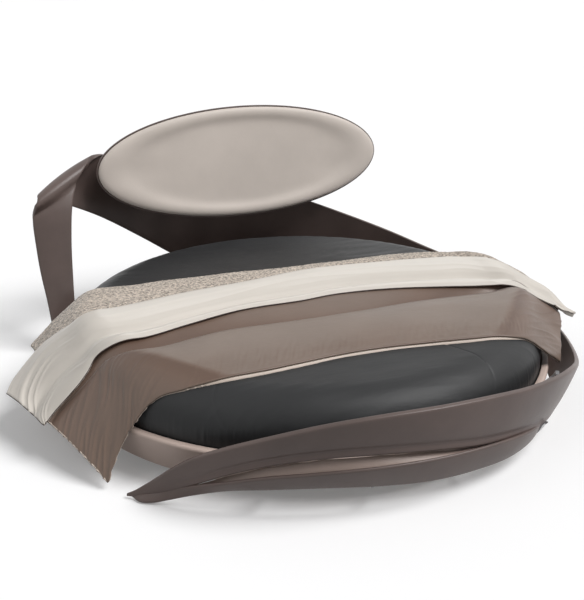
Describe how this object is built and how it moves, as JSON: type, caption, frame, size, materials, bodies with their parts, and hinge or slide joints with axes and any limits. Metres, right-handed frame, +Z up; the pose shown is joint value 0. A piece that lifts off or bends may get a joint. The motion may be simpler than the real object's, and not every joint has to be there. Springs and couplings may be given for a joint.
{
  "type": "round bed",
  "caption": "Round bed with a swirling leather-covered ribbon frame, an oval headboard pad, a mattress with a fitted sheet, and layered bedding.",
  "frame": {"origin": "on the floor under the middle of the mattress, at the underside of the middle foot's glide", "axes": "+Z up; +Y towards the headboard; +X towards the right-hand side, seen from the foot of the bed"},
  "size_m": [2.5096, 2.4463, 1.0765],
  "materials": {
    "steel": "satin",
    "wood": "plain",
    "dark_leather": "satin",
    "pale_leather": "satin",
    "base_leather": "satin",
    "headboard_leather": "satin",
    "glide": "matte",
    "mattress_fill": "quilted",
    "black_satin": "satin",
    "boucle": "looped",
    "ivory_satin": "satin",
    "brown_satin": "satin"
  },
  "bodies": {
    "frame": {"beam_angle_bolts": "steel", "beam_angles": "steel", "beam_hanger_bolts": "steel", "beam_hangers": "steel", "centre_foot": "wood", "centre_foot_glide": "glide", "cross_beams": "wood", "headboard_arms": "steel", "headboard_board": "wood", "headboard_bolts": "steel", "headboard_pad": "headboard_leather", "headboard_plates": "steel", "headboard_shell": "dark_leather", "leg_foot_plate": "steel", "long_beam": "wood", "plinth_glides": "glide", "plinth_quarter_1": "wood", "plinth_quarter_2": "wood", "plinth_quarter_3": "wood", "plinth_quarter_4": "wood", "rail_joint_bolts": "steel", "rail_joint_plates": "steel", "ribbon_back_band": "dark_leather", "ribbon_back_rise": "dark_leather", "ribbon_bracket_bolts": "steel", "ribbon_brackets": "steel", "ribbon_front_leaf": "dark_leather", "ribbon_ledge": "pale_leather", "ribbon_left_leg": "dark_leather", "ribbon_lower_leaf": "dark_leather", "ribbon_rear_waist": "dark_leather", "ribbon_right_bend": "dark_leather", "ribbon_top_fold": "dark_leather", "ring_cover_1": "base_leather", "ring_cover_2": "base_leather", "ring_cover_3": "base_leather", "ring_cover_4": "base_leather", "ring_rail_1": "wood", "ring_rail_2": "wood", "ring_rail_3": "wood", "ring_rail_4": "wood", "seam_dowels": "wood", "slat_screws": "steel", "slats": "wood"},
    "mattress": {"boucle_throw": "boucle", "fitted_sheet": "black_satin", "mattress_core": "mattress_fill", "mattress_topper": "mattress_fill", "satin_coverlet": "ivory_satin", "satin_quilt": "brown_satin"}
  },
  "joints": [
    {"name": "mattress_lift", "type": "slide", "parent": "frame", "child": "mattress", "axis": [0, 0, 1], "range_m": [0, 0.09]}
  ]
}
